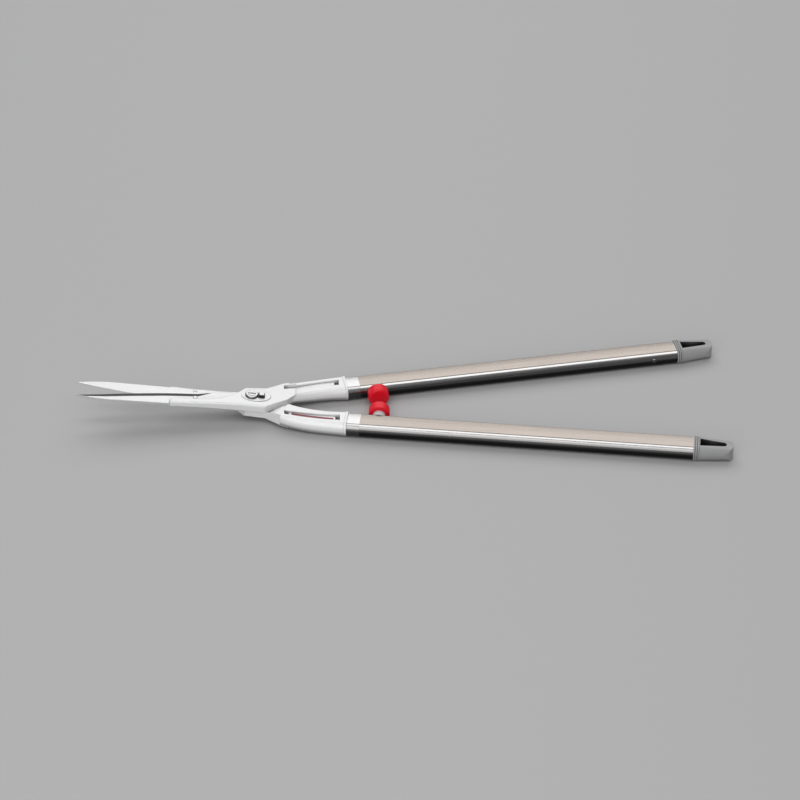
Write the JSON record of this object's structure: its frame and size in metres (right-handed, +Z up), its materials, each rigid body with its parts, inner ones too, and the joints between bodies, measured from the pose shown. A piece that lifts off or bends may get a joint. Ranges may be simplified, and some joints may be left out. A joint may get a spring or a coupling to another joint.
{
  "type": "hedge shears",
  "caption": "Long-handled hedge shears: straight tapered blades crossing at a pivot bolt, alloy blade holders, straight oval tube handles with hang-hole end caps and red rubber bumpers.",
  "frame": {"origin": "under the middle of the tool's box, on the surface that the two handle tubes lie on", "axes": "+X from the blade tips to the handle ends, +Y towards the handle of the upper half, +Z up, square to the face the tubes rest on"},
  "size_m": [0.6701, 0.1972, 0.0407],
  "materials": {
    "blade_steel": "hard-chromed steel with a fine ground grain along the blade",
    "holder_alloy": "matte silver die-cast alloy",
    "ferrule_metal": "bright polished collar",
    "tube_anodised": "champagne-brown anodised, satin along its length",
    "cap_plastic": "mid-grey moulded plastic",
    "stud_plastic": "light-grey moulded plastic",
    "bumper_rubber": "glossy red rubber",
    "fastener_steel": "bright zinc-plated steel",
    "bush_bronze": "sintered bronze, oiled",
    "stripe_paint": "thin dark-red painted line"
  },
  "bodies": {
    "lower_half": {"lower_blade": "blade_steel", "lower_blade_screws": "fastener_steel", "lower_slide_rivet": "fastener_steel", "lower_holder": "holder_alloy", "lower_ferrule": "ferrule_metal", "lower_handle_tube": "tube_anodised", "lower_tube_rivet": "fastener_steel", "lower_end_cap": "cap_plastic", "lower_cap_rivet": "fastener_steel", "lower_bumper_stud": "stud_plastic", "lower_bumper_rubber": "bumper_rubber", "lower_stud_rivet": "fastener_steel", "recess_stripe": "stripe_paint", "pivot_bush": "bush_bronze", "pivot_washer": "fastener_steel"},
    "upper_half": {"upper_blade": "blade_steel", "upper_blade_screws": "fastener_steel", "upper_slide_rivet": "fastener_steel", "upper_holder": "holder_alloy", "upper_ferrule": "ferrule_metal", "upper_handle_tube": "tube_anodised", "upper_tube_rivet": "fastener_steel", "upper_end_cap": "cap_plastic", "upper_cap_rivet": "fastener_steel", "upper_bumper_stud": "stud_plastic", "upper_bumper_rubber": "bumper_rubber", "upper_stud_rivet": "fastener_steel", "pivot_bolt": "fastener_steel", "pivot_nut": "fastener_steel", "nut_lock_plate": "fastener_steel", "nut_lock_screw": "fastener_steel"}
  },
  "joints": [
    {"name": "pivot", "type": "hinge", "parent": "lower_half", "child": "upper_half", "pos_m": [-0.1555, 0, 0.0168], "axis": [0.1219, 0, 0.9925], "range_deg": [-7, 40]}
  ]
}
